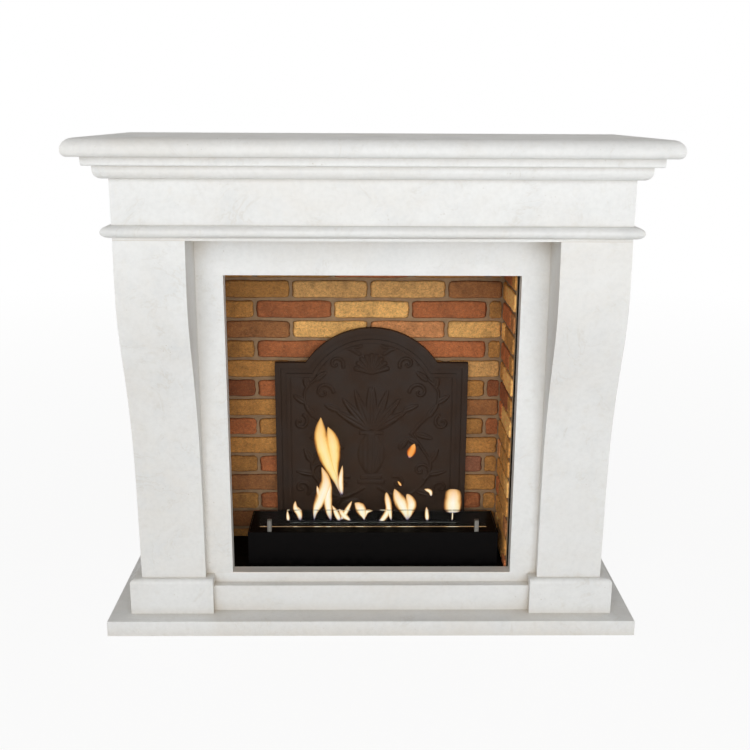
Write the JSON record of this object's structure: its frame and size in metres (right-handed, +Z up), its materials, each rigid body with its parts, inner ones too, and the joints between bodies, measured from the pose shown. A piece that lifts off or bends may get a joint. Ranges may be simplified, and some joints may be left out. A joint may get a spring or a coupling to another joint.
{
  "type": "bioethanol fireplace",
  "caption": "Stone mantel surround with S-curved pilasters round a brick-lined steel firebox, with an arched iron fireback and a slot ethanol burner.",
  "frame": {"origin": "middle of the bounding box at the floor", "axes": "+Z up, +X to the viewer's right, +Y towards the wall; the front faces -Y"},
  "size_m": [1.232, 0.52, 1.135],
  "materials": {
    "limestone": "honed, slightly pitted",
    "black_steel": "heat-resistant matt black paint",
    "mortar": "rough",
    "brick": "rough hand-moulded, ochre and red mixed",
    "brushed_strip": "brushed",
    "cast_iron": "as cast, brown-black",
    "burner_black": "satin black powder coat",
    "stainless": "brushed",
    "ceramic_wool": "soft fibre block",
    "glass": "clear toughened",
    "zinc_steel": "zinc plated"
  },
  "bodies": {
    "surround": {"hearth_slab": "limestone", "plinth_band": "limestone", "sill_rail": "limestone", "top_slip": "limestone", "lintel_beam": "limestone", "frieze_panel": "limestone", "bead_front": "limestone", "lower_cornice": "limestone", "upper_cornice": "limestone", "mantel_shelf": "limestone", "left_plinth_block": "limestone", "left_plinth_return": "limestone", "left_pilaster": "limestone", "left_slip": "limestone", "left_side_panel": "limestone", "left_frieze_return": "limestone", "left_bead_return": "limestone", "right_plinth_block": "limestone", "right_plinth_return": "limestone", "right_pilaster": "limestone", "right_slip": "limestone", "right_side_panel": "limestone", "right_frieze_return": "limestone", "right_bead_return": "limestone", "cassette_floor": "black_steel", "cassette_back": "black_steel", "cassette_ceiling": "black_steel", "cassette_legs": "black_steel", "left_cassette_side": "black_steel", "right_cassette_side": "black_steel", "back_mortar_panel": "mortar", "left_mortar_panel": "mortar", "right_mortar_panel": "mortar", "back_bricks": "brick", "left_bricks": "brick", "right_bricks": "brick", "threshold_strip": "brushed_strip", "fireback": "cast_iron", "burner_housing": "burner_black", "housing_ledges": "stainless", "fixing_angles": "zinc_steel", "angle_screws": "zinc_steel"},
    "burner_insert": {"burner_top_plate": "burner_black", "fuel_tank": "stainless", "tank_cover": "stainless", "tank_hangers": "stainless", "absorbent_wool": "ceramic_wool", "pane_posts": "stainless", "post_screws": "stainless"},
    "lid": {"regulating_lid": "stainless"},
    "pane": {"glass_pane": "glass"}
  },
  "joints": [
    {"name": "insert_lift", "type": "slide", "parent": "surround", "child": "burner_insert", "axis": [0, 0, 1], "range_m": [0, 0.1]},
    {"name": "lid_slide", "type": "slide", "parent": "burner_insert", "child": "lid", "axis": [0, -1, 0], "range_m": [0, 0.0195]},
    {"name": "pane_lift", "type": "slide", "parent": "burner_insert", "child": "pane", "axis": [0, 0, 1], "range_m": [0, 0.05]}
  ]
}
